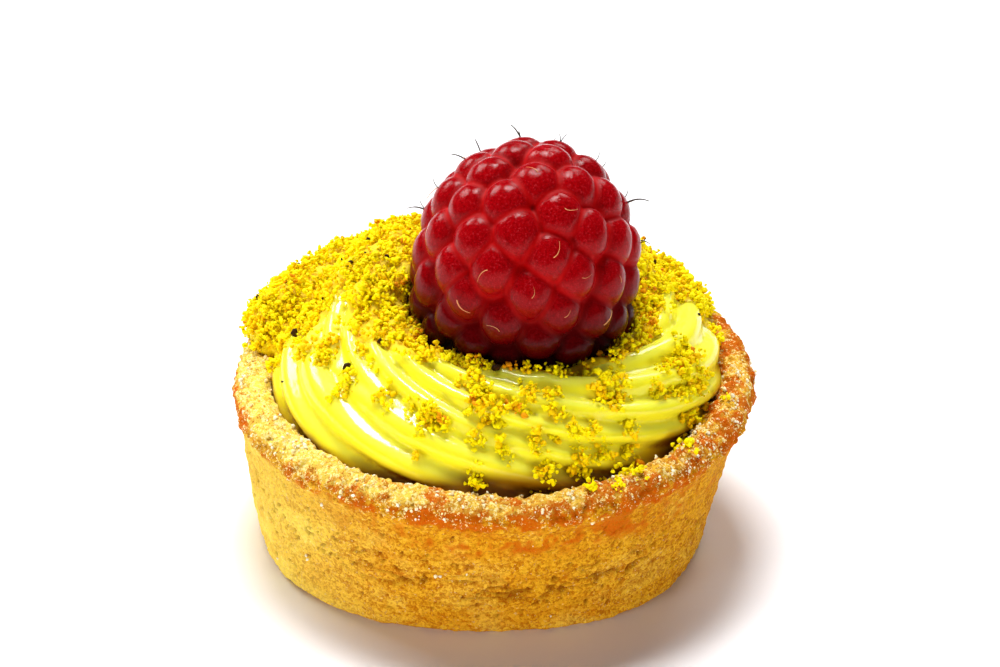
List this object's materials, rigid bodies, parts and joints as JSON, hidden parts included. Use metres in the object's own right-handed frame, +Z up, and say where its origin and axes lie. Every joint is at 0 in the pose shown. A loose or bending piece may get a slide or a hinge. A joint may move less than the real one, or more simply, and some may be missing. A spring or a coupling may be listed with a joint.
{
  "type": "raspberry cream tartlet",
  "caption": "Round shortcrust tartlet filled with a twisted ring of piped cream, scattered with crumbs and topped with a whole raspberry.",
  "frame": {"origin": "middle of the flat underside of the crust, on the surface it rests on", "axes": "+Z up, through the raspberry; -Y towards the side that the picture shows; +X to the right as seen from there"},
  "size_m": [0.0487, 0.047, 0.0396],
  "materials": {
    "crust": "dry sandy baked shortcrust, browner at the rim",
    "cream": "soft satin piped cream with yellow cake crumbs",
    "raspberry": "deep red berry skin with a faint bloom"
  },
  "bodies": {
    "root": {"crust": "crust", "cream": "cream", "raspberry": "raspberry"}
  },
  "joints": []
}
